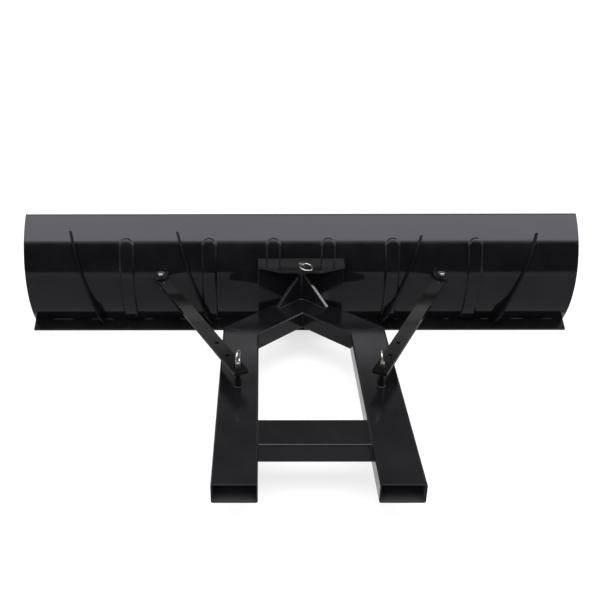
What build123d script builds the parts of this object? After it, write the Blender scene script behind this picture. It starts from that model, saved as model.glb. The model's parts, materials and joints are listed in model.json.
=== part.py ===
from build123d import *
from math import asin, atan, atan2, cos, degrees, hypot, radians, sin, sqrt, tan
import os

# Snow plough blade on a carrying frame that slides over two pallet-fork tines.
# Millimetres, +Z up, +Y forward. The origin is on the ground at the middle of the plan.
# The blade stands on the wear lip, and the frame is carried clear of the ground.

SIDES = (("left", -1), ("right", 1))
FIT = 0.06                     # radial running clearance of a pin in its hole
ROUND_GAP = 0.1                # radial gap at a round welded joint

# Carrying frame, rectangular tube
TUBE_WIDTH = 100
TUBE_HEIGHT = 50
TUBE_WALL = 3
TUBE_CORNER = 5
FORK_GAP = 257                 # clear width between the fork tubes
FRAME_TOP = 153
NOSE_INNER_Y = 259.5           # inner corner of the V at the centre
CROSS_REAR_Y = -382.5
FRAME_MID = FRAME_TOP - TUBE_HEIGHT / 2
FORK_X = (FORK_GAP + TUBE_WIDTH) / 2
NOSE_MID_Y = NOSE_INNER_Y + TUBE_WIDTH / sqrt(2)
MITRE_Y = NOSE_MID_Y - FORK_X  # where the centre lines of fork tube and arm meet
MITRE_ANGLE = 22.5

# Blade sheet: two arcs that meet, upright, at the belly
BLADE_WIDTH = 1700
SHEET = 4
BELLY_Y = 419.5
BELLY_Z = 169
UPPER_RADIUS = 242
LOWER_RADIUS = 250
TOP_Z = 363.7
CREASE_Z = 24.5
SWAGE_DEPTH = 6
SWAGE_WIDTH = 45
SWAGE_TOP = 307
SWAGE_BOTTOM = 36
SWAGE_X = (84, 281, 535)
HALF_WIDTH = BLADE_WIDTH / 2
UPPER_CENTRE = (BELLY_Y + UPPER_RADIUS, BELLY_Z)
LOWER_CENTRE = (BELLY_Y + LOWER_RADIUS, BELLY_Z)
UPPER_SWEEP = degrees(asin((TOP_Z - BELLY_Z) / UPPER_RADIUS))
LOWER_SWEEP = degrees(asin((BELLY_Z - CREASE_Z) / LOWER_RADIUS))
CREASE_Y = LOWER_CENTRE[0] - LOWER_RADIUS * cos(radians(LOWER_SWEEP))
FRONT_Y = UPPER_CENTRE[0] - (UPPER_RADIUS - SHEET) * cos(radians(UPPER_SWEEP))
REAR_Y = -FRONT_Y              # the fork tubes end as far behind the origin as the blade's top is ahead

# Wear lip: a flat bar that kicks back from the crease
LIP_THICKNESS = 6
LIP_ANGLE = 28
LIP_TOE = 8                    # the bar reaches this far past the sheet, under the front face
LIP_BACK = (CREASE_Z - LIP_THICKNESS * cos(radians(LIP_ANGLE))) / sin(radians(LIP_ANGLE))

# Slanted stiffening ribs: side, x at ground level, sideways travel per unit of height, top
RIB_THICKNESS = 6
RIBS = {
    "inner_left": (-1, 275, 0.32, 326),
    "inner_right": (1, 253, 0.37, 316),
    "outer_left": (-1, 620, 0.265, 328),
    "outer_right": (1, 613, 0.34, 322),
}
RIB_PROUD_TOP = 8
RIB_FREE_Y = 411.5
RIB_LOW_Z = 60
RIB_FOOT_Y = 445

# Hinge bracket
PLATE = 8
CHEEK = 6
BRACKET_X = 130
BRACKET_TOP = 252.6
BRACKET_LOW = 24
BRACKET_REAR_Y = 372
BRACKET_NOSE_X = 59
BRACKET_NOSE_Y = 336.5
BRACKET_FRONT_Y = 429          # front edge of the upper plate, cut to fit round the swages
LOWER_PLATE_TOP = 96
BACK_FRONT_Y = BELLY_Y - SWAGE_DEPTH
BACK_REAR_Y = BACK_FRONT_Y - PLATE
UPPER_PLATE_BOTTOM = BRACKET_TOP - PLATE

# Pivot
PIVOT_Y = 359.5
PIVOT_PIN_R = 8
PIVOT_TUBE_R = 13.5
WASHER = 3
PIVOT_END_PLAY = 0.3
PIVOT_LOW = LOWER_PLATE_TOP + WASHER + PIVOT_END_PLAY
PIVOT_HIGH = UPPER_PLATE_BOTTOM - WASHER - PIVOT_END_PLAY
GUSSET_FOOT = 105              # from the pivot axis to the toe of the gusset
GUSSET_TIP_Z = 232
GUSSET_TIP = 16
GUSSET_TOE = 6
GUSSET_THICKNESS = 10

# Angle struts and what holds them
POST_Y = -136.5
POST_R = 9.5
STRUT_PIN_R = 5
POST_TOP = 195.4
STRUT_LOW = 196
STRUT_THICKNESS = 10
STRUT_WIDTH = 38
STRUT_END = 21                 # from the rear hole to the square end
LUG_X = 426
LUG_Y = 390
LUG_WIDTH = 40
LUG_PLATE = 6
LUG_GAP = 0.6                  # between the strut and each ear
LUG_BOLT_R = 6
BOLT_HEAD = 8
BOLT_FLATS = 19
LUG_WASHER = 2.4
NUT_HEIGHT = 10
ANGLE_STEPS = (10, 20)         # blade angles that the spare holes set
STRUT_HIGH = STRUT_LOW + STRUT_THICKNESS
EAR_TOP = STRUT_HIGH + LUG_GAP + LUG_PLATE
EAR_LOW = STRUT_LOW - LUG_GAP - LUG_PLATE
STRUT_LENGTH = hypot(LUG_X - FORK_X, LUG_Y - POST_Y)

# Ring pins
RING_R = 19                    # centre line of the ring
RING_WIRE_R = 1.8
RING_OFFSET = 16               # from the hinge axis to the ring's centre
RING_BEND_R = 4
RING_STUB_IN = 3               # inner end of each stub, from the pin's axis
HEAD_WIDTH = 13                # along the ring's hinge axis
PIVOT_HEAD_ACROSS = 18
PIVOT_HEAD_HEIGHT = 16
PIVOT_RING_Z = BRACKET_TOP + 10
PIVOT_RING_TURN = 37           # the ring points this far to the rear of sideways
PIVOT_RING_DROP = 12           # and slopes down to rest on the plate
STRUT_HEAD_ACROSS = 11
STRUT_HEAD_HEIGHT = 17
STRUT_RING_Z = STRUT_HIGH + 12
STRUT_RING_TURN = {"left": 12, "right": 5}  # how far each ring stands off the fore-and-aft plane
STRUT_RING_LEAN = {"left": 0, "right": 8}   # and off the upright


def tube_section(plane):
    """Return the section of the frame's rectangular tube, centred on a plane's origin."""
    with BuildSketch(plane) as section:
        RectangleRounded(TUBE_WIDTH, TUBE_HEIGHT, TUBE_CORNER)
        RectangleRounded(
            TUBE_WIDTH - 2 * TUBE_WALL,
            TUBE_HEIGHT - 2 * TUBE_WALL,
            TUBE_CORNER - TUBE_WALL,
            mode=Mode.SUBTRACT,
        )
    return section.sketch


def blade_band(rear, front, top_sweep=UPPER_SWEEP, low_sweep=LOWER_SWEEP, start=-HALF_WIDTH):
    """Return the section between two offsets from the blade's rear face, on a YZ plane."""
    with BuildSketch(Plane.YZ.offset(start)) as band:
        with BuildLine():
            upper_rear = CenterArc(UPPER_CENTRE, UPPER_RADIUS + rear, 180 - top_sweep, top_sweep)
            lower_rear = CenterArc(LOWER_CENTRE, LOWER_RADIUS + rear, 180, low_sweep)
            upper_front = CenterArc(UPPER_CENTRE, UPPER_RADIUS - front, 180 - top_sweep, top_sweep)
            lower_front = CenterArc(LOWER_CENTRE, LOWER_RADIUS - front, 180, low_sweep)
            Line(upper_rear @ 0, upper_front @ 0)
            Line(lower_rear @ 1, lower_front @ 1)
        make_face()
    return band.sketch


def pressed_bands(rear, front, inset):
    """Return the six upright bands of the sheet's thickness range, each narrowed by inset."""
    length = SWAGE_TOP - SWAGE_BOTTOM - 2 * inset
    middle = (SWAGE_TOP + SWAGE_BOTTOM) / 2
    with BuildPart() as bands:
        with BuildSketch(Plane.XZ):
            for x in SWAGE_X:
                with Locations((x, middle), (-x, middle)):
                    SlotOverall(length, SWAGE_WIDTH - 2 * inset, rotation=90)
        extrude(amount=-2 * CREASE_Y)
        extrude(blade_band(rear, front), amount=BLADE_WIDTH, mode=Mode.INTERSECT)
    return bands.part


def bracket_outline(height, front):
    """Return the plan of the bracket's upper and lower plates."""
    with BuildSketch(Plane.XY.offset(height)) as plan:
        with BuildLine():
            Polyline(
                (-BRACKET_X, front),
                (-BRACKET_X, BRACKET_REAR_Y),
                (-BRACKET_NOSE_X, BRACKET_NOSE_Y),
                (BRACKET_NOSE_X, BRACKET_NOSE_Y),
                (BRACKET_X, BRACKET_REAR_Y),
                (BRACKET_X, front),
                close=True,
            )
        make_face()
        with Locations((0, PIVOT_Y)):
            Circle(PIVOT_PIN_R + FIT, mode=Mode.SUBTRACT)
    return plan.sketch


def ring_solid(plane):
    """Return a wire ring with two stubs that turn in a pin's cross hole.

    The plane's origin is the middle of the hinge axis, its x direction is the hinge axis, and
    its y direction points to the ring's centre.
    """
    bend_x = sqrt((RING_R - RING_BEND_R) ** 2 - (RING_OFFSET - RING_BEND_R) ** 2)
    join = degrees(atan2(RING_BEND_R - RING_OFFSET, bend_x))
    with BuildPart() as ring:
        with BuildLine(plane):
            stub = Line((RING_STUB_IN, 0), (bend_x, 0))
            CenterArc((bend_x, RING_BEND_R), RING_BEND_R, -90, 90 + join)
            CenterArc((0, RING_OFFSET), RING_R, join, 180 - 2 * join)
            CenterArc((-bend_x, RING_BEND_R), RING_BEND_R, 180 - join, 90 + join)
            Line((-bend_x, 0), (-RING_STUB_IN, 0))
        with BuildSketch(Plane(stub @ 0, z_dir=stub % 0)):
            Circle(RING_WIRE_R)
        sweep()
    return ring.part


def pin_head(base, height, across):
    """Return a rounded block on a base plane whose y direction is the ring's hinge axis."""
    with BuildPart() as head:
        with BuildSketch(base):
            RectangleRounded(across, HEAD_WIDTH, 3)
        extrude(amount=height)
        chamfer(head.faces().sort_by(Axis.Z)[-1].edges(), 1.5)
    return head.part


os.makedirs("parts", exist_ok=True)

# Carrying frame

for side, sign in SIDES:
    mitre_normal = (-sign * sin(radians(MITRE_ANGLE)), cos(radians(MITRE_ANGLE)), 0)
    mitre = Plane((sign * FORK_X, MITRE_Y, 0), z_dir=mitre_normal)
    rear_end = Plane((sign * FORK_X, REAR_Y, FRAME_MID), x_dir=(1, 0, 0), z_dir=(0, -1, 0))

    with BuildPart() as fork_tube:
        extrude(tube_section(rear_end), amount=-(MITRE_Y - REAR_Y + TUBE_WIDTH))
        split(bisect_by=mitre, keep=Keep.BOTTOM)
    fork_tube.part.label = f"fork_tube_{side}"
    export_step(fork_tube.part, f"parts/fork_tube_{side}.step")

    along_arm = Plane((0, NOSE_MID_Y, FRAME_MID), x_dir=(1, sign, 0), z_dir=(sign, -1, 0))
    with BuildPart() as front_arm:
        extrude(tube_section(along_arm.offset(-TUBE_WIDTH)), amount=FORK_X * sqrt(2) + 2 * TUBE_WIDTH)
        split(bisect_by=mitre, keep=Keep.TOP)
        split(bisect_by=Plane.YZ, keep=Keep.TOP if sign > 0 else Keep.BOTTOM)
        with Locations((0, PIVOT_Y, FRAME_MID)):
            Cylinder(PIVOT_TUBE_R + ROUND_GAP, 2 * TUBE_HEIGHT, mode=Mode.SUBTRACT)
    front_arm.part.label = f"front_arm_{side}"
    export_step(front_arm.part, f"parts/front_arm_{side}.step")

    along_gusset = Plane((0, PIVOT_Y, 0), x_dir=(sign, -1, 0), z_dir=(1, sign, 0))
    with BuildPart() as pivot_gusset:
        with BuildSketch(along_gusset):
            with BuildLine():
                Polyline(
                    (0, -FRAME_TOP),
                    (GUSSET_FOOT, -FRAME_TOP),
                    (GUSSET_FOOT, -FRAME_TOP - GUSSET_TOE),
                    (GUSSET_TIP, -GUSSET_TIP_Z),
                    (0, -GUSSET_TIP_Z),
                    close=True,
                )
            make_face()
        extrude(amount=GUSSET_THICKNESS / 2, both=True)
        with Locations((0, PIVOT_Y, FRAME_TOP)):
            Cylinder(PIVOT_TUBE_R + ROUND_GAP, 4 * TUBE_HEIGHT, mode=Mode.SUBTRACT)
    pivot_gusset.part.label = f"pivot_gusset_{side}"
    export_step(pivot_gusset.part, f"parts/pivot_gusset_{side}.step")

    with BuildPart() as strut_post:
        with BuildSketch(Plane.XY.offset(FRAME_TOP)):
            with Locations((sign * FORK_X, POST_Y)):
                Circle(POST_R)
                Circle(STRUT_PIN_R + 0.5, mode=Mode.SUBTRACT)
        extrude(amount=POST_TOP - FRAME_TOP)
    strut_post.part.label = f"strut_post_{side}"
    export_step(strut_post.part, f"parts/strut_post_{side}.step")

with BuildPart() as cross_member:
    cross_y = CROSS_REAR_Y + TUBE_WIDTH / 2
    cross_end = Plane((-FORK_GAP / 2, cross_y, FRAME_MID), x_dir=(0, 1, 0), z_dir=(1, 0, 0))
    extrude(tube_section(cross_end), amount=FORK_GAP)
cross_member.part.label = "cross_member"
export_step(cross_member.part, "parts/cross_member.step")

with BuildPart() as pivot_tube:
    with BuildSketch(Plane.XY.offset(PIVOT_LOW)):
        with Locations((0, PIVOT_Y)):
            Circle(PIVOT_TUBE_R)
            Circle(PIVOT_PIN_R + FIT, mode=Mode.SUBTRACT)
    extrude(amount=PIVOT_HIGH - PIVOT_LOW)
    chamfer(pivot_tube.edges().filter_by(GeomType.CIRCLE).sort_by(SortBy.RADIUS)[-2:], 1)
pivot_tube.part.label = "pivot_tube"
export_step(pivot_tube.part, "parts/pivot_tube.step")

# Blade

with BuildPart() as wear_lip:
    slope = (cos(radians(LIP_ANGLE)), sin(radians(LIP_ANGLE)))
    with BuildSketch(Plane.YZ.offset(-HALF_WIDTH)):
        with BuildLine():
            Polyline(
                (CREASE_Y - LIP_BACK * slope[0], CREASE_Z - LIP_BACK * slope[1]),
                (CREASE_Y + LIP_TOE * slope[0], CREASE_Z + LIP_TOE * slope[1]),
                (
                    CREASE_Y + LIP_TOE * slope[0] + LIP_THICKNESS * slope[1],
                    CREASE_Z + LIP_TOE * slope[1] - LIP_THICKNESS * slope[0],
                ),
                (
                    CREASE_Y - LIP_BACK * slope[0] + LIP_THICKNESS * slope[1],
                    CREASE_Z - LIP_BACK * slope[1] - LIP_THICKNESS * slope[0],
                ),
                close=True,
            )
        make_face()
    extrude(amount=BLADE_WIDTH)
wear_lip.part.label = "wear_lip"
export_step(wear_lip.part, "parts/wear_lip.step")

swage_recess = pressed_bands(SWAGE_DEPTH - SHEET, SHEET + 1, SHEET)
with BuildPart() as moldboard:
    extrude(blade_band(0, SHEET, low_sweep=LOWER_SWEEP + 0.6), amount=BLADE_WIDTH)
    add(pressed_bands(SWAGE_DEPTH, 1, 0))
    add(swage_recess, mode=Mode.SUBTRACT)
    add(wear_lip.part, mode=Mode.SUBTRACT)
moldboard.part.label = "moldboard"
export_step(moldboard.part, "parts/moldboard.step")

for name, (sign, foot_x, lean, rib_top) in RIBS.items():
    free_radius = UPPER_RADIUS + RIB_PROUD_TOP
    rib_sweep = degrees(asin((rib_top - BELLY_Z) / free_radius))
    with BuildPart() as rib:
        with BuildSketch(Plane.YZ):
            with BuildLine():
                edge = CenterArc(UPPER_CENTRE, free_radius, 180 - rib_sweep, rib_sweep)
                inset = UPPER_RADIUS - SHEET / 2
                upper = CenterArc(UPPER_CENTRE, inset, 180 - rib_sweep, rib_sweep)
                lower = CenterArc(LOWER_CENTRE, LOWER_RADIUS - SHEET / 2, 180, LOWER_SWEEP)
                Line(edge @ 0, upper @ 0)
                Polyline(
                    edge @ 1,
                    (RIB_FREE_Y, RIB_LOW_Z),
                    (RIB_FOOT_Y, CREASE_Z - (CREASE_Y - RIB_FOOT_Y) * tan(radians(LIP_ANGLE))),
                    (RIB_FOOT_Y + LIP_THICKNESS, CREASE_Z / 2),
                    lower @ 1,
                )
            make_face()
        extrude(amount=sign * HALF_WIDTH)
        with BuildSketch(Plane.XZ):
            with Locations((sign * (foot_x + lean * BELLY_Z), BELLY_Z)):
                Rectangle(RIB_THICKNESS, 3 * BELLY_Z, rotation=-sign * degrees(atan(lean)))
        extrude(amount=2 * CREASE_Y, both=True, mode=Mode.INTERSECT)
        add(moldboard.part, mode=Mode.SUBTRACT)
        add(swage_recess, mode=Mode.SUBTRACT)
        add(wear_lip.part, mode=Mode.SUBTRACT)
    rib.part.label = f"stiffening_rib_{name}"
    export_step(rib.part, f"parts/stiffening_rib_{name}.step")

# Hinge bracket on the back of the blade

with BuildPart() as bracket_back_plate:
    with BuildSketch(Plane.XZ.offset(-BACK_FRONT_Y)):
        with Locations((0, (UPPER_PLATE_BOTTOM + BRACKET_LOW) / 2)):
            Rectangle(2 * BRACKET_X, UPPER_PLATE_BOTTOM - BRACKET_LOW)
    extrude(amount=PLATE)
bracket_back_plate.part.label = "bracket_back_plate"
export_step(bracket_back_plate.part, "parts/bracket_back_plate.step")

with BuildPart() as bracket_top_plate:
    extrude(bracket_outline(UPPER_PLATE_BOTTOM, BRACKET_FRONT_Y), amount=PLATE)
    add(moldboard.part, mode=Mode.SUBTRACT)
bracket_top_plate.part.label = "bracket_top_plate"
export_step(bracket_top_plate.part, "parts/bracket_top_plate.step")

with BuildPart() as bracket_bottom_plate:
    extrude(bracket_outline(LOWER_PLATE_TOP - PLATE, BACK_REAR_Y), amount=PLATE)
bracket_bottom_plate.part.label = "bracket_bottom_plate"
export_step(bracket_bottom_plate.part, "parts/bracket_bottom_plate.step")

for side, sign in SIDES:
    with BuildPart() as bracket_cheek:
        with BuildSketch(Plane.YZ.offset(sign * (BRACKET_X - CHEEK / 2))):
            with BuildLine():
                sweep_up = degrees(asin((UPPER_PLATE_BOTTOM - BELLY_Z) / (UPPER_RADIUS - SHEET / 2)))
                sweep_down = degrees(asin((BELLY_Z - BRACKET_LOW - PLATE) / (LOWER_RADIUS - SHEET / 2)))
                upper = CenterArc(UPPER_CENTRE, UPPER_RADIUS - SHEET / 2, 180 - sweep_up, sweep_up)
                lower = CenterArc(LOWER_CENTRE, LOWER_RADIUS - SHEET / 2, 180, sweep_down)
                Polyline(
                    upper @ 0,
                    (BACK_FRONT_Y, UPPER_PLATE_BOTTOM),
                    (BACK_FRONT_Y, BRACKET_LOW + PLATE),
                    lower @ 1,
                )
            make_face()
        extrude(amount=CHEEK / 2, both=True)
        add(moldboard.part, mode=Mode.SUBTRACT)
    bracket_cheek.part.label = f"bracket_cheek_{side}"
    export_step(bracket_cheek.part, f"parts/bracket_cheek_{side}.step")

for place, height in (("top", UPPER_PLATE_BOTTOM - WASHER), ("bottom", LOWER_PLATE_TOP)):
    with BuildPart() as thrust_washer:
        with BuildSketch(Plane.XY.offset(height)):
            with Locations((0, PIVOT_Y)):
                Circle(PIVOT_TUBE_R)
                Circle(PIVOT_PIN_R + FIT, mode=Mode.SUBTRACT)
        extrude(amount=WASHER)
    thrust_washer.part.label = f"thrust_washer_{place}"
    export_step(thrust_washer.part, f"parts/thrust_washer_{place}.step")

# Pivot pin and its ring

turn = radians(PIVOT_RING_TURN)
drop = radians(PIVOT_RING_DROP)
pivot_hinge = (sin(turn), cos(turn), 0)
with BuildPart() as pivot_pin:
    with BuildSketch(Plane.XY.offset(LOWER_PLATE_TOP - 2 * PLATE)):
        with Locations((0, PIVOT_Y)):
            Circle(PIVOT_PIN_R)
    extrude(amount=BRACKET_TOP - LOWER_PLATE_TOP + 2 * PLATE)
    chamfer(pivot_pin.faces().sort_by(Axis.Z)[0].edges(), 2)
    head_base = Plane((0, PIVOT_Y, BRACKET_TOP), x_dir=(cos(turn), -sin(turn), 0))
    add(pin_head(head_base, PIVOT_HEAD_HEIGHT, PIVOT_HEAD_ACROSS))
    with Locations(Plane((0, PIVOT_Y, PIVOT_RING_Z), z_dir=pivot_hinge)):
        Cylinder(RING_WIRE_R + FIT, 2 * HEAD_WIDTH, mode=Mode.SUBTRACT)
pivot_pin.part.label = "pivot_pin"
export_step(pivot_pin.part, "parts/pivot_pin.step")

lying = Plane(
    (0, PIVOT_Y, PIVOT_RING_Z),
    x_dir=pivot_hinge,
    z_dir=(-cos(turn) * sin(drop), sin(turn) * sin(drop), -cos(drop)),
)
pivot_pin_ring = ring_solid(lying)
pivot_pin_ring.label = "pivot_pin_ring"
export_step(pivot_pin_ring, "parts/pivot_pin_ring.step")

# Angle struts, their lugs on the blade and their ring pins

for side, sign in SIDES:
    along = Plane(
        (sign * LUG_X, LUG_Y, STRUT_LOW),
        x_dir=(sign * (FORK_X - LUG_X), POST_Y - LUG_Y, 0),
        z_dir=(0, 0, 1),
    )
    hole_places = [(0, 0), (STRUT_LENGTH, 0)]
    for step in ANGLE_STEPS:
        turn = radians(step)
        reach_x = LUG_X * cos(turn) + (LUG_Y - PIVOT_Y) * sin(turn) - FORK_X
        reach_y = PIVOT_Y - LUG_X * sin(turn) + (LUG_Y - PIVOT_Y) * cos(turn) - POST_Y
        hole_places.append((hypot(reach_x, reach_y), 0))

    with BuildPart() as strut_bar:
        with BuildSketch(along):
            with Locations(((STRUT_LENGTH + STRUT_END) / 2, 0)):
                Rectangle(STRUT_LENGTH + STRUT_END, STRUT_WIDTH)
            Circle(STRUT_WIDTH / 2)
            with Locations(*hole_places[1:]):
                Circle(STRUT_PIN_R + FIT, mode=Mode.SUBTRACT)
            Circle(LUG_BOLT_R + FIT, mode=Mode.SUBTRACT)
        extrude(amount=STRUT_THICKNESS)
    strut_bar.part.label = f"strut_bar_{side}"
    export_step(strut_bar.part, f"parts/strut_bar_{side}.step")

    with BuildPart() as strut_lug:
        with BuildSketch(Plane.XY.offset(EAR_LOW)):
            with Locations((sign * LUG_X, LUG_Y)):
                Circle(LUG_WIDTH / 2)
            with Locations((sign * LUG_X, (LUG_Y + CREASE_Y) / 2)):
                Rectangle(LUG_WIDTH, CREASE_Y - LUG_Y)
        extrude(amount=EAR_TOP - EAR_LOW)
        with BuildSketch(Plane.XY.offset(STRUT_LOW - LUG_GAP)):
            with Locations((sign * LUG_X, LUG_Y)):
                Rectangle(2 * LUG_WIDTH, STRUT_WIDTH + LUG_PLATE)
        extrude(amount=STRUT_THICKNESS + 2 * LUG_GAP, mode=Mode.SUBTRACT)
        with Locations((sign * LUG_X, LUG_Y, STRUT_LOW)):
            Cylinder(LUG_BOLT_R + FIT, LUG_WIDTH * 2, mode=Mode.SUBTRACT)
        extrude(blade_band(0, 2 * LUG_WIDTH), amount=BLADE_WIDTH, mode=Mode.SUBTRACT)
    strut_lug.part.label = f"strut_lug_{side}"
    export_step(strut_lug.part, f"parts/strut_lug_{side}.step")

    with BuildPart() as lug_bolt:
        with BuildSketch(Plane.XY.offset(EAR_LOW - NUT_HEIGHT - LUG_PLATE)):
            with Locations((sign * LUG_X, LUG_Y)):
                Circle(LUG_BOLT_R)
        extrude(amount=EAR_TOP + LUG_WASHER - EAR_LOW + NUT_HEIGHT + LUG_PLATE)
        with BuildSketch(Plane.XY.offset(EAR_TOP + LUG_WASHER)):
            with Locations((sign * LUG_X, LUG_Y)):
                RegularPolygon(BOLT_FLATS / 2, 6, major_radius=False)
        extrude(amount=BOLT_HEAD)
        chamfer(lug_bolt.faces().sort_by(Axis.Z)[-1].edges(), 0.8)
    lug_bolt.part.label = f"lug_bolt_{side}"
    export_step(lug_bolt.part, f"parts/lug_bolt_{side}.step")

    with BuildPart() as lug_washer:
        with BuildSketch(Plane.XY.offset(EAR_TOP)):
            with Locations((sign * LUG_X, LUG_Y)):
                Circle(2 * LUG_BOLT_R + 1)
                Circle(LUG_BOLT_R + FIT, mode=Mode.SUBTRACT)
        extrude(amount=LUG_WASHER)
    lug_washer.part.label = f"lug_washer_{side}"
    export_step(lug_washer.part, f"parts/lug_washer_{side}.step")

    with BuildPart() as lug_nut:
        with BuildSketch(Plane.XY.offset(EAR_LOW - NUT_HEIGHT)):
            with Locations((sign * LUG_X, LUG_Y)):
                RegularPolygon(BOLT_FLATS / 2, 6, major_radius=False)
                Circle(LUG_BOLT_R + FIT, mode=Mode.SUBTRACT)
        extrude(amount=NUT_HEIGHT)
    lug_nut.part.label = f"lug_nut_{side}"
    export_step(lug_nut.part, f"parts/lug_nut_{side}.step")

    turn = radians(STRUT_RING_TURN[side])
    hinge_line = (sin(turn), cos(turn), 0)
    with BuildPart() as strut_pin:
        with BuildSketch(Plane.XY.offset(STRUT_LOW)):
            with Locations((sign * FORK_X, POST_Y)):
                Circle(STRUT_PIN_R)
        extrude(amount=STRUT_THICKNESS)
        head_base = Plane((sign * FORK_X, POST_Y, STRUT_HIGH), x_dir=(cos(turn), -sin(turn), 0))
        add(pin_head(head_base, STRUT_HEAD_HEIGHT, STRUT_HEAD_ACROSS))
        with Locations(Plane((sign * FORK_X, POST_Y, STRUT_RING_Z), z_dir=hinge_line)):
            Cylinder(RING_WIRE_R + FIT, 2 * HEAD_WIDTH, mode=Mode.SUBTRACT)
    strut_pin.part.label = f"strut_pin_{side}"
    export_step(strut_pin.part, f"parts/strut_pin_{side}.step")

    tip = radians(STRUT_RING_LEAN[side])
    upright = Plane(
        (sign * FORK_X, POST_Y, STRUT_RING_Z),
        x_dir=hinge_line,
        z_dir=(cos(turn) * cos(tip), -sin(turn) * cos(tip), sin(tip)),
    )
    strut_pin_ring = ring_solid(upright)
    strut_pin_ring.label = f"strut_pin_ring_{side}"
    export_step(strut_pin_ring, f"parts/strut_pin_ring_{side}.step")
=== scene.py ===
import json
import math
import random

import bmesh
import bpy
import numpy as np
from mathutils import Matrix, Vector


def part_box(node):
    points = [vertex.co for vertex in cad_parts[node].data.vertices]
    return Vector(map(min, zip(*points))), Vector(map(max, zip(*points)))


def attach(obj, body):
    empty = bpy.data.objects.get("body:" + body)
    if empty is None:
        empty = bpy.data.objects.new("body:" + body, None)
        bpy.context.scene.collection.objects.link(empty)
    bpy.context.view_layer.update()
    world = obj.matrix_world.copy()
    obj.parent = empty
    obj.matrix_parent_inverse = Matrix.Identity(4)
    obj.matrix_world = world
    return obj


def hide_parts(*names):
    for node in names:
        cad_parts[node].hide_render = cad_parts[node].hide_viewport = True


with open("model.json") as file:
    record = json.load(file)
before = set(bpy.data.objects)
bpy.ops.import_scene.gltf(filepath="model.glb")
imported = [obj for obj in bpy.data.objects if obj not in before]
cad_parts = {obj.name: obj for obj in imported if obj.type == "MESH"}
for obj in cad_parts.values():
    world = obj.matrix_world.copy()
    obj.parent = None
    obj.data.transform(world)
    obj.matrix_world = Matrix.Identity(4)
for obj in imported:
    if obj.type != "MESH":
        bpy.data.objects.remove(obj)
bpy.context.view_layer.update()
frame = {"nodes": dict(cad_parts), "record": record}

MM = 0.001

# ---------------------------------------------------------------- sizes that the frame gives

BLADE_LOW, BLADE_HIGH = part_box("moldboard")
TUBE_LOW, TUBE_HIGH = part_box("fork_tube_right")
PLATE_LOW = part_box("bracket_top_plate")[0]
BACK_LOW, BACK_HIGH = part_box("bracket_back_plate")
CROSS_LOW, CROSS_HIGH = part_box("cross_member")
BUSH_LOW, BUSH_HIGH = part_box("pivot_tube")

# The blade's section, as in the CAD part: two arcs that meet, upright, at the belly.
SHEET = 4 * MM
SWAGE_DEPTH = 6 * MM
SWAGE_WIDTH = 45 * MM
SWAGE_SHOULDER = 4.5 * MM
SWAGE_TOP = 307 * MM
SWAGE_BOTTOM = 36 * MM
SWAGE_X = [sign * x * MM for x in (84, 281, 535) for sign in (-1, 1)]
UPPER_RADIUS = 242 * MM
LOWER_RADIUS = 250 * MM
BELLY_Z = 169 * MM
CREASE_Z = 24.5 * MM
HALF_WIDTH = BLADE_HIGH.x
BELLY_Y = BLADE_LOW.y + SWAGE_DEPTH
UPPER_SWEEP = math.asin((BLADE_HIGH.z - BELLY_Z) / UPPER_RADIUS)
LOWER_SWEEP = math.asin((BELLY_Z - CREASE_Z) / LOWER_RADIUS)
CREASE_Y = BELLY_Y + LOWER_RADIUS * (1 - math.cos(LOWER_SWEEP))

FORK_X = (TUBE_LOW.x + TUBE_HIGH.x) / 2
FRAME_TOP = TUBE_HIGH.z
FRAME_BOTTOM = TUBE_LOW.z
PIVOT_Y = (BUSH_LOW.y + BUSH_HIGH.y) / 2
ARM_WIDTH = TUBE_HIGH.x - TUBE_LOW.x
TUBE_CORNER = 5 * MM
TUBE_WALL = 3 * MM
MITRE_SLOPE = math.tan(math.radians(22.5))
MITRE_Y = TUBE_HIGH.y - ARM_WIDTH / 2 * MITRE_SLOPE
NOSE_Y = MITRE_Y + FORK_X
NOSE_INNER_Y = NOSE_Y - ARM_WIDTH / math.sqrt(2)

# ---------------------------------------------------------------- meshes


def add_object(name, mesh, material, body):
    """Link a mesh as a piece that rides on a body."""
    piece = bpy.data.objects.new(name, mesh)
    bpy.context.collection.objects.link(piece)
    mesh.materials.append(material)
    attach(piece, body)
    return piece


def mesh_from(name, points, faces):
    """A smooth-shaded mesh from points and faces."""
    mesh = bpy.data.meshes.new(name)
    mesh.from_pydata([tuple(p) for p in points], [], faces)
    mesh.validate()
    for polygon in mesh.polygons:
        polygon.use_smooth = True
    return mesh


def soften(piece, width):
    """Round a piece's hard edges with modifiers, so that they catch the light."""
    merge = piece.modifiers.new("merge", "WELD")
    merge.merge_threshold = 0.01 * MM
    bevel = piece.modifiers.new("edge", "BEVEL")
    bevel.width = width
    bevel.segments = 2
    bevel.limit_method = "ANGLE"
    bevel.angle_limit = math.radians(35)
    normals = piece.modifiers.new("normals", "WEIGHTED_NORMAL")
    normals.keep_sharp = True
    normals.weight = 80


def smoothstep(value):
    value = np.clip(value, 0.0, 1.0)
    return value * value * (3 - 2 * value)


# Millimetres: the fine mesh's reach, each side of a swage's middle and in from its ends, and its step.
FINE_REACH = 25
FINE_STEP = 1.25


def swage_height(x, z):
    """Height of the pressed swages above the plain sheet."""
    radius = SWAGE_WIDTH / 2
    height = np.zeros_like(x)
    for centre in SWAGE_X:
        nearest = np.clip(z, SWAGE_BOTTOM + radius, SWAGE_TOP - radius)
        distance = np.hypot(x - centre, z - nearest)
        height = np.maximum(height, smoothstep((radius - distance) / SWAGE_SHOULDER))
    return SWAGE_DEPTH * height


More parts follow.
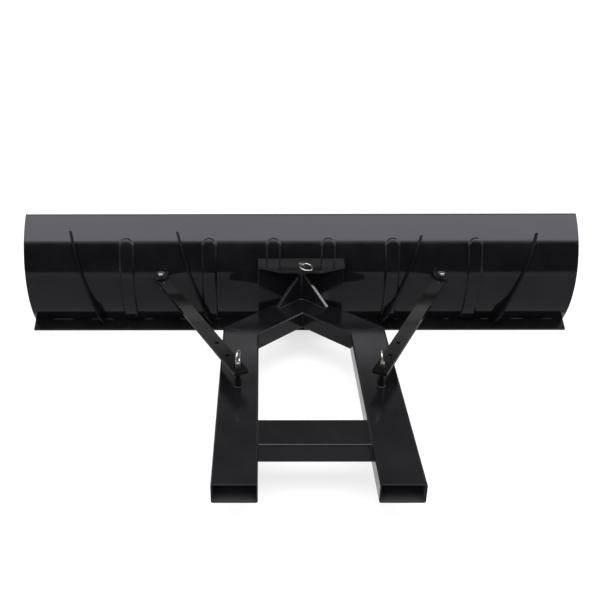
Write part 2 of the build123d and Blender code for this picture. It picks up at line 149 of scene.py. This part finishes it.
def blade_stations():
    """Places across the blade, close together at the swages and wide apart between them."""
    stations = set(np.round(np.linspace(-HALF_WIDTH, HALF_WIDTH, 52), 5))
    for centre in SWAGE_X:
        stations.update(np.round(np.arange(-FINE_REACH, FINE_REACH + 0.1, FINE_STEP) * MM + centre, 5))
    for inset in (0.5, 2.0):
        stations.update((HALF_WIDTH - inset * MM, inset * MM - HALF_WIDTH))
    return np.array(sorted(stations))


def blade_face(x, sweep, offset):
    """Points of one face of the blade: offset is measured to the rear of the plain sheet."""
    radius = np.where(sweep >= 0, UPPER_RADIUS, LOWER_RADIUS)
    z_plain = BELLY_Z + radius * np.sin(sweep)
    height = swage_height(x, z_plain) + offset
    y = BELLY_Y + radius - (radius + height) * np.cos(sweep)
    z = BELLY_Z + (radius + height) * np.sin(sweep)
    return np.stack([x, y, z], axis=-1)


def grid_faces(rows, columns, start, flip):
    """Quads of a grid of points, counted row by row from a first point."""
    faces = []
    for row in range(rows - 1):
        for column in range(columns - 1):
            corner = start + row * columns + column
            quad = (corner, corner + 1, corner + columns + 1, corner + columns)
            faces.append(quad[::-1] if flip else quad)
    return faces


def blade_sweeps():
    """Angles up the blade from the belly, close together at the swages' rounded ends."""
    top_end = np.arange(-FINE_REACH, 2, FINE_STEP) * MM + SWAGE_TOP
    bottom_end = np.arange(-2, FINE_REACH, FINE_STEP) * MM + SWAGE_BOTTOM
    ends = np.append(top_end, bottom_end)
    radius = np.where(ends > BELLY_Z, UPPER_RADIUS, LOWER_RADIUS)
    sweeps = np.append(np.linspace(-LOWER_SWEEP, UPPER_SWEEP, 72), np.arcsin((ends - BELLY_Z) / radius))
    rim = 0.5 * MM / UPPER_RADIUS
    return np.unique(np.append(sweeps, (rim - LOWER_SWEEP, UPPER_SWEEP - rim)))


def moldboard_mesh():
    """The rolled sheet with its six rounded swages, as one closed skin."""
    x, sweep = np.meshgrid(blade_stations(), blade_sweeps())
    rear = blade_face(x, sweep, 0.0).reshape(-1, 3)
    front = blade_face(x, sweep, -SHEET).reshape(-1, 3)
    rows, columns = x.shape
    count = rows * columns
    faces = grid_faces(rows, columns, 0, False) + grid_faces(rows, columns, count, True)
    for row in range(rows - 1):
        for column, flip in ((0, True), (columns - 1, False)):
            low = row * columns + column
            high = low + columns
            quad = (low, low + count, high + count, high)
            faces.append(quad[::-1] if flip else quad)
    for column in range(columns - 1):
        for row, flip in ((0, False), (rows - 1, True)):
            near = row * columns + column
            quad = (near, near + count, near + count + 1, near + 1)
            faces.append(quad[::-1] if flip else quad)
    mesh = mesh_from("moldboard_skin", np.concatenate([rear, front]), faces)
    skin = bmesh.new()
    skin.from_mesh(mesh)
    bmesh.ops.recalc_face_normals(skin, faces=skin.faces)
    skin.to_mesh(mesh)
    skin.free()
    return mesh


def tube_along(path, radii, sides=10, closed=False):
    """Points and faces of a round skin along a path, with a radius at every point."""
    path = [Vector(p) for p in path]
    count = len(path)
    points, faces = [], []
    normal = None
    for index, point in enumerate(path):
        before = path[index - 1] if index or closed else point
        after = path[(index + 1) % count] if index < count - 1 or closed else point
        tangent = (after - before).normalized()
        if normal is None:
            guide = Vector((0, 0, 1)) if abs(tangent.z) < 0.9 else Vector((1, 0, 0))
            normal = tangent.cross(guide).normalized()
        normal = (normal - tangent * normal.dot(tangent)).normalized()
        side = tangent.cross(normal)
        for step in range(sides):
            turn = 2 * math.pi * step / sides
            points.append(point + (normal * math.cos(turn) + side * math.sin(turn)) * radii[index])
    rings = count if closed else count - 1
    for ring in range(rings):
        for step in range(sides):
            a = ring * sides + step
            b = ring * sides + (step + 1) % sides
            c = (ring + 1) % count * sides + (step + 1) % sides
            d = (ring + 1) % count * sides + step
            faces.append((a, b, c, d))
    if not closed:
        faces.append(tuple(range(sides))[::-1])
        faces.append(tuple((count - 1) * sides + step for step in range(sides)))
    return points, faces


BEAD_PITCH = 3.2 * MM           # from one ripple of a weld bead to the next


def weld_bead(name, corners, radius, body, closed=False):
    """A rippled weld bead along a polyline, half sunk in the seam that it closes."""
    rng = random.Random(name)
    path, radii = [], []
    runs = list(zip(corners, corners[1:] + corners[:1] if closed else corners[1:]))
    for start, end in runs:
        start, end = Vector(start), Vector(end)
        steps = max(2, int((end - start).length / (BEAD_PITCH / 4)))
        for step in range(steps):
            path.append(start.lerp(end, step / steps))
            ripple = 0.88 + 0.12 * abs(math.sin(math.pi * step / 4))
            radii.append(radius * ripple * rng.uniform(0.96, 1.04))
    if not closed:
        path.append(Vector(corners[-1]))
        radii.append(radius * 0.5)
        radii[0] = radius * 0.5
    points, faces = tube_along(path, radii, closed=closed)
    add_object(name, mesh_from(name, points, faces), WELD_COAT, body)


def circle_points(centre, radius, height, count=40):
    """Points round a level circle."""
    turns = [2 * math.pi * step / count for step in range(count)]
    return [(centre[0] + radius * math.cos(t), centre[1] + radius * math.sin(t), height) for t in turns]


# ---------------------------------------------------------------- materials


class Nodes:
    """A short way to build a node material round one Principled shader."""

    def __init__(self, name):
        self.material = bpy.data.materials.new(name)
        self.material.use_nodes = True
        self.tree = self.material.node_tree
        self.shader = self.tree.nodes["Principled BSDF"]
        coordinates = self.tree.nodes.new("ShaderNodeTexCoord")
        self.place = coordinates.outputs["Object"]

    def set(self, **values):
        for key, value in values.items():
            self.shader.inputs[key.replace("_", " ")].default_value = value

    def feed(self, socket, value):
        """Link an output to a socket, or set the socket to a constant."""
        if isinstance(value, bpy.types.NodeSocket):
            self.tree.links.new(value, socket)
        else:
            socket.default_value = value

    def node(self, kind, **inputs):
        made = self.tree.nodes.new("ShaderNode" + kind)
        for key, value in inputs.items():
            self.feed(made.inputs[key.replace("_", " ")], value)
        return made

    def noise(self, scale, detail=3.0, stretch=None, roughness=0.5):
        place = self.place
        if stretch:
            mapping = self.node("Mapping", Vector=place)
            mapping.inputs["Scale"].default_value = stretch
            place = mapping.outputs["Vector"]
        made = self.node("TexNoise", Vector=place, Scale=scale, Detail=detail, Roughness=roughness)
        return made.outputs["Fac"]

    def ramp(self, value, start, end, low, high):
        """Go from low to high while a value goes from start to end."""
        made = self.node("MapRange", Value=value, From_Min=start, From_Max=end, To_Min=low, To_Max=high)
        return made.outputs["Result"]

    def between(self, factor, low, high):
        """Spread a noise texture, which keeps near its middle, over a range of values."""
        return self.ramp(factor, 0.3, 0.7, low, high)

    def mix(self, factor, first, second):
        made = self.tree.nodes.new("ShaderNodeMix")
        made.data_type = "RGBA"
        for index, value in ((0, factor), (6, first), (7, second)):   # the colour sockets
            self.feed(made.inputs[index], value)
        return made.outputs[2]

    def math(self, operation, first, second=0.0):
        made = self.tree.nodes.new("ShaderNodeMath")
        made.operation = operation
        for socket, value in zip(made.inputs, (first, second)):
            self.feed(socket, value)
        return made.outputs[0]

    def link(self, output, key):
        self.tree.links.new(output, self.shader.inputs[key])

    def bump(self, height, strength, distance, under=None):
        made = self.node("Bump", Height=height, Strength=strength, Distance=distance)
        if under:
            self.tree.links.new(under, made.inputs["Normal"])
        return made.outputs["Normal"]


def shaded(colour, factor):
    """A colour times a factor, with full alpha."""
    return tuple(factor * channel for channel in colour) + (1.0,)


def powder_coat(name, colour, gloss, ripple=0.12, shine=0.5):
    """Glossy black powder coat: orange peel, soft sheet ripple, dust in patches, paler edges."""
    coat = Nodes(name)
    dust = coat.noise(9.0, 6.0, roughness=0.62)
    grain = coat.noise(1400.0, 2.0)
    peel = coat.noise(330.0, 2.0)
    wave = coat.noise(7.0, 1.0)
    rounded = coat.node("Bevel", Radius=1.2 * MM)
    rounded.samples = 4
    agree = coat.tree.nodes.new("ShaderNodeVectorMath")
    agree.operation = "DOT_PRODUCT"
    coat.tree.links.new(rounded.outputs["Normal"], agree.inputs[0])
    coat.tree.links.new(coat.node("NewGeometry").outputs["Normal"], agree.inputs[1])
    edge = coat.ramp(agree.outputs["Value"], 0.98, 0.8, 0.0, 1.0)
    body = coat.mix(coat.between(dust, 0.0, 1.0), shaded(colour, 0.75), shaded(colour, 1.6))
    coat.link(coat.mix(edge, body, shaded(colour, 3.0)), "Base Color")
    coat.link(coat.between(dust, gloss, gloss + 0.06), "Roughness")
    slow = coat.bump(wave, ripple, 1.5 * MM)
    orange = coat.bump(peel, 0.05, 0.2 * MM, slow)
    coat.link(coat.bump(grain, 0.04, 0.05 * MM, orange), "Normal")
    coat.set(IOR=COAT_IOR, Specular_IOR_Level=shine, Specular_Tint=COAT_TINT)
    return coat


def frame_coat():
    """The frame's coat, duller inside the fork pockets and paler there: painted light on the tube ends."""
    coat = powder_coat("frame_coat", BLACK, 0.13, ripple=0.07)
    apart = coat.node("SeparateXYZ", Vector=coat.place)
    across = coat.math("SUBTRACT", coat.math("ABSOLUTE", apart.outputs["X"]), FORK_X)
    up = coat.math("SUBTRACT", apart.outputs["Z"], (FRAME_TOP + FRAME_BOTTOM) / 2)
    reach = ((ARM_WIDTH / 2, across), ((FRAME_TOP - FRAME_BOTTOM) / 2, up))
    inside = 1.0
    for half, offset in reach:
        near = coat.math("LESS_THAN", coat.math("ABSOLUTE", offset), half - TUBE_WALL + 0.2 * MM)
        inside = coat.math("MULTIPLY", near, inside)
    # Inside the pockets: a paler colour, which is painted light on the tube ends, and more roughness.
    for key, dull in (("Base Color", (0.034, 0.035, 0.039, 1)), ("Roughness", (0.7, 0.7, 0.7, 1))):
        plain = coat.shader.inputs[key].links[0].from_socket
        coat.link(coat.mix(inside, plain, dull), key)
    return coat.material


def strut_coat():
    """The struts' coat, rubbed dull towards the adjusting holes at the frame end."""
    coat = powder_coat("strut_coat", (0.0032, 0.0031, 0.003), 0.07, ripple=0.3)
    apart = coat.node("SeparateXYZ", Vector=coat.place)
    coat.link(coat.ramp(apart.outputs["Y"], 0.10, 0.17, 0.1, 0.5), "Specular IOR Level")
    return coat.material


def bare_metal(name, colour, low, high, streak):
    """Plated steel: fine turning streaks, small stains, and gloss that varies."""
    metal = Nodes(name)
    stain = metal.noise(160.0, 5.0)
    lines = metal.noise(900.0, 2.0, stretch=streak)
    body = metal.mix(metal.between(stain, 0.0, 1.0), shaded(colour, 0.55), shaded(colour, 1.0))
    metal.link(body, "Base Color")
    metal.link(metal.between(stain, high, low), "Roughness")
    metal.link(metal.bump(lines, 0.12, 0.06 * MM), "Normal")
    metal.set(Metallic=1.0)
    return metal.material


COAT_IOR = 1.40
COAT_TINT = (0.95, 0.94, 1.07, 1)
BLACK = (0.0034, 0.0035, 0.0041)
MATERIALS = {
    "moldboard_paint": powder_coat("moldboard_coat", BLACK, 0.07, ripple=0.10).material,
    "blade_paint": powder_coat("blade_coat", BLACK, 0.10).material,
    "frame_paint": frame_coat(),
    "strut_paint": strut_coat(),
    "zinc_hardware": bare_metal("bright_zinc", (0.62, 0.62, 0.6), 0.2, 0.36, (1, 1, 14)),
    "washer_steel": bare_metal("black_oxide", (0.045, 0.045, 0.047), 0.3, 0.45, (1, 1, 8)),
    "ring_wire": bare_metal("plated_wire", (0.80, 0.80, 0.77), 0.14, 0.26, (6, 1, 1)),
}
RIB_COAT = powder_coat("rib_coat", BLACK, 0.3, shine=0.1).material
PIN_ZINC = bare_metal("dull_zinc", (0.30, 0.29, 0.26), 0.3, 0.5, (1, 1, 14))
WELD_COAT = powder_coat("weld_coat", (0.006, 0.006, 0.006), 0.14, ripple=0.3).material

for entry in frame["record"]["subparts"]:
    holder = frame["nodes"][entry["node"]]
    finish = MATERIALS[entry["material_slot"]]
    if "rib" in entry["node"]:
        finish = RIB_COAT
    elif entry["node"] in ("pivot_pin", "strut_pin_left", "strut_pin_right"):
        finish = PIN_ZINC
    holder.data.materials.clear()
    holder.data.materials.append(finish)

# ---------------------------------------------------------------- blade sheet

sheet_coat = MATERIALS["moldboard_paint"]
moldboard = add_object("moldboard_sheet", moldboard_mesh(), sheet_coat, "blade")
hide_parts("moldboard")

# ---------------------------------------------------------------- edges of the CAD nodes

# Millimetres of rounding, by the start of a node's name. The rings are round already.
EDGE_WIDTH = {
    "fork_tube": 0.5, "front_arm": 0.5, "cross_member": 0.5, "pivot_gusset": 0.8, "strut_post": 0.6,
    "wear_lip": 0.6, "stiffening_rib": 0.7, "bracket": 0.6, "thrust_washer": 0.3, "strut_lug": 0.8,
    "lug_bolt": 0.3, "lug_nut": 0.4, "lug_washer": 0.4, "strut_bar": 0.7, "strut_pin": 0.3, "pivot_pin": 0.3,
}
for node, holder in frame["nodes"].items():
    for prefix, width in EDGE_WIDTH.items():
        if node.startswith(prefix) and "ring" not in node:
            soften(holder, width * MM)
            break

# ---------------------------------------------------------------- welds


def blade_bead(name, corners, radius):
    weld_bead(name, corners, radius, "blade")


def frame_bead(name, corners, radius, closed=False):
    weld_bead(name, corners, radius, "frame", closed=closed)


# Stitches along the crease, where the sheet stands on the wear lip: middle and length, in millimetres.
CREASE_STITCHES = [
    (-760, 60), (-633, 70), (-483, 24), (-372, 22), (-266, 32), (-150, 40), (0, 50), (150, 40),
    (313, 12), (400, 14), (476, 12), (599, 26), (700, 40), (800, 30),
]
for number, (middle, length) in enumerate(CREASE_STITCHES):
    stitch_y, stitch_z = CREASE_Y - 1.2 * MM, CREASE_Z + 0.6 * MM
    ends = [((middle + half * length / 2) * MM, stitch_y, stitch_z) for half in (-1, 1)]
    blade_bead(f"crease_stitch_{number}", ends, 2.4 * MM)

SEAM_PROUD = 0.8 * MM           # a round seam's bead stands this far out from the corner
BUSH_BEAD_RING = 14.2 * MM      # radius of the bead round the pivot bush
GUSSET_HEEL = 11 * MM           # where the gusset's seams start, off the pivot axis
GUSSET_FOOT = 103 * MM          # and where they end, measured along the arm
GUSSET_HALF = 4.6 * MM          # from the gusset's middle to each seam
LOW_SEAM, HIGH_SEAM = FRAME_BOTTOM + TUBE_CORNER, FRAME_TOP - TUBE_CORNER


def mitre_outline(sign):
    """The mitred joint of a fork tube and its arm, once round, with its corners cut off."""
    inner, outer = sign * TUBE_LOW.x, sign * TUBE_HIGH.x
    rise = ARM_WIDTH / 2 * MITRE_SLOPE
    step_x, step_y = sign * TUBE_CORNER, TUBE_CORNER * MITRE_SLOPE
    return [
        (inner, MITRE_Y - rise, LOW_SEAM),
        (inner, MITRE_Y - rise, HIGH_SEAM),
        (inner + step_x, MITRE_Y - rise + step_y, FRAME_TOP),
        (outer - step_x, MITRE_Y + rise - step_y, FRAME_TOP),
        (outer, MITRE_Y + rise, HIGH_SEAM),
        (outer, MITRE_Y + rise, LOW_SEAM),
        (outer - step_x, MITRE_Y + rise - step_y, FRAME_BOTTOM),
        (inner + step_x, MITRE_Y - rise + step_y, FRAME_BOTTOM),
    ]


for side, sign in (("left", -1), ("right", 1)):
    inner = sign * TUBE_LOW.x
    frame_bead(f"mitre_weld_{side}", mitre_outline(sign), 1.0 * MM, closed=True)
    seam_x = inner - sign * 1 * MM
    for place, y in (("rear", CROSS_LOW.y), ("front", CROSS_HIGH.y)):
        frame_bead(f"cross_weld_{place}_{side}", [(seam_x, y, LOW_SEAM), (seam_x, y, HIGH_SEAM)], 2.6 * MM)
    seam_x, seam_z = inner - sign * 0.5 * MM, FRAME_TOP - 2.5 * MM
    seam_ends = (CROSS_LOW.y + TUBE_CORNER, CROSS_HIGH.y - TUBE_CORNER)
    frame_bead(f"cross_weld_top_{side}", [(seam_x, y, seam_z) for y in seam_ends], 2.8 * MM)

    post_low, post_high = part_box(f"strut_post_{side}")
    post = (post_low + post_high) / 2
    post_radius = (post_high.x - post_low.x) / 2
    post_foot = circle_points(post, post_radius + SEAM_PROUD, FRAME_TOP + SEAM_PROUD)
    frame_bead(f"post_weld_{side}", post_foot, 2.6 * MM, closed=True)

    heel = Vector((sign * GUSSET_HEEL, PIVOT_Y - GUSSET_HEEL, 0))
    along = Vector((sign, -1, 0)).normalized()
    across = Vector((1, sign, 0)).normalized()
    foot = Vector((0, PIVOT_Y, 0)) + along * GUSSET_FOOT
    for place, half in (("a", -1), ("b", 1)):
        shift = across * half * GUSSET_HALF + Vector((0, 0, FRAME_TOP + 0.6 * MM))
        frame_bead(f"gusset_weld_{place}_{side}", [heel + shift, foot + shift], 2.4 * MM)

nose = [(0, NOSE_INNER_Y, LOW_SEAM), (0, NOSE_INNER_Y, HIGH_SEAM), (0, NOSE_INNER_Y + TUBE_CORNER, FRAME_TOP)]
frame_bead("nose_weld", nose, 1.6 * MM)
bush_foot = circle_points((0, PIVOT_Y), BUSH_BEAD_RING, FRAME_TOP + SEAM_PROUD)
frame_bead("bush_weld", bush_foot, 2.6 * MM, closed=True)

# The bracket's seams: up both sides of its back plate, and under its upper plate.
for side, sign in (("left", -1), ("right", 1)):
    x = sign * (BACK_HIGH.x - 0.5 * MM)
    seam = [(x, BACK_HIGH.y, BACK_LOW.z + 6 * MM), (x, BACK_HIGH.y, BACK_HIGH.z - 2 * MM)]
    blade_bead(f"bracket_side_weld_{side}", seam, 1.6 * MM)
under_x, under_y, under_z = BACK_HIGH.x - 8 * MM, BACK_LOW.y - 0.4 * MM, PLATE_LOW.z - 0.4 * MM
blade_bead("bracket_under_weld", [(-under_x, under_y, under_z), (under_x, under_y, under_z)], 2.6 * MM)

# ---------------------------------------------------------------- floor, light and camera


def stage_plane(name, centre, size, rotation, material):
    bpy.ops.mesh.primitive_plane_add(size=1, location=centre, rotation=rotation)
    plane = bpy.context.object
    plane.name = name
    plane.scale = (size[0], size[1], 1)
    plane.data.materials.append(material)
    return plane


WHITE = (1, 1, 1, 1)


def floor_material():
    """A pale floor that also glows a little, so that its shadows stay faint."""
    floor = Nodes("pale_floor")
    shade = floor.between(floor.noise(1.5, 4.0), 0.0, 1.0)
    floor.link(floor.mix(shade, (0.34, 0.34, 0.34, 1), (0.38, 0.38, 0.38, 1)), "Base Color")
    floor.set(Roughness=0.9, Specular_IOR_Level=0.0, Emission_Color=WHITE, Emission_Strength=0.68)
    return floor.material


def glow_material(name, radiance):
    """An even panel, dark but for what it gives off."""
    panel = Nodes(name)
    panel.set(Base_Color=(0, 0, 0, 1), Roughness=1.0, Specular_IOR_Level=0.0)
    panel.set(Emission_Color=WHITE, Emission_Strength=radiance)
    return panel.material


def reflected_panel(name, centre, size, facing, material):
    """A stage panel that only glossy surfaces see."""
    turn = Vector(facing).to_track_quat("Z", "Y").to_euler()
    panel = stage_plane(name, centre, size, turn, material)
    panel.visible_camera = False
    panel.visible_diffuse = False
    panel.visible_shadow = False


stage_plane("floor", (0, 0, 0), (60, 60), (0, 0, 0), floor_material())
# A black flag by the camera, unseen by it, makes the sheet's dark part; the sheet turns light at its top.
FLAG_TOP = 2.09
FLAG_GLOW = glow_material("flag_black", 0.004)
reflected_panel("black_flag", (0, -1.75, FLAG_TOP / 2), (9.0, FLAG_TOP), (0, 1, 0), FLAG_GLOW)
# What stands ahead of the plough, which the tops of the tubes and struts mirror: from, to, radiance.
FRONT_BANDS = ((0.5, 5.5, 0.42), (5.5, 6.05, 1.4), (6.05, 7.45, 0.07), (7.45, 14.0, 0.27))
for number, (low, high, radiance) in enumerate(FRONT_BANDS):
    reflected_panel(
        f"front_panel_{number}", (0, 10, (low + high) / 2), (40.0, high - low), (0, -1, 0),
        glow_material(f"front_grey_{number}", radiance),
    )
# Painted shade on the floor, mirrored by the sheet's lower half: left, right, rear, front, radiance.
SHADED_FLOOR = (
    (-1.8, 1.8, -1.74, -0.42, 0.55),
    (-1.5, -0.13, -0.42, 0.44, 0.45),
    (-0.13, 0.092, -0.42, 0.44, 0.35),
    (0.11, 1.5, -0.42, 0.44, 0.45),
)
for number, (left, right, rear, front, radiance) in enumerate(SHADED_FLOOR):
    middle = ((left + right) / 2, (rear + front) / 2, 0.001)
    reflected_panel(
        f"floor_shade_{number}", middle, (right - left, front - rear), (0, 0, 1),
        glow_material(f"floor_painted_shade_{number}", radiance),
    )
reflected_panel("ceiling", (0, 1.5, 3.4), (8.0, 2.4), (0, 0, -1), glow_material("ceiling_grey", 0.35))
# The way from the right gusset to the small bright panel that it mirrors.
GUSSET_GLINT = Vector((0.753, 0.213, 0.624))
reflected_panel(
    "side_glint", Vector((0.05, 0.31, 0.2)) + 2.5 * GUSSET_GLINT, (0.55, 0.55), -GUSSET_GLINT,
    glow_material("side_white", 9.0),
)

world = bpy.data.worlds.new("studio")
bpy.context.scene.world = world
world.use_nodes = True
background = world.node_tree.nodes["Background"]
background.inputs["Color"].default_value = WHITE
background.inputs["Strength"].default_value = 0.95


def softbox(name, place, target, size, power):
    """A rectangular area light that points at a target."""
    light = bpy.data.lights.new(name, "AREA")
    light.shape = "RECTANGLE"
    light.size, light.size_y = size
    light.energy = power
    holder = bpy.data.objects.new(name, light)
    bpy.context.collection.objects.link(holder)
    holder.location = place
    holder.rotation_euler = (Vector(target) - Vector(place)).to_track_quat("-Z", "Y").to_euler()


softbox("overhead", (0, -1.0, 3.2), (0, 0.2, 0.1), (6.0, 2.6), 165)

CAMERA_PLACE = (-0.1196, -1.8775, 1.2638)
CAMERA_PITCH = math.radians(27.94)
CAMERA_YAW = math.radians(-0.31)
CAMERA_ROLL = math.radians(-0.21)
camera_data = bpy.data.cameras.new("camera")
camera_data.lens = 49.24
camera_data.shift_x = 0.0702
camera_data.shift_y = 0.0328
camera = bpy.data.objects.new("camera", camera_data)
bpy.context.collection.objects.link(camera)
turn = (
    Matrix.Rotation(-CAMERA_YAW, 4, "Z")
    @ Matrix.Rotation(math.pi / 2 - CAMERA_PITCH, 4, "X")
    @ Matrix.Rotation(CAMERA_ROLL, 4, "Z")
)
camera.matrix_world = Matrix.Translation(CAMERA_PLACE) @ turn
bpy.context.scene.camera = camera
bpy.context.scene.view_settings.view_transform = "Standard"
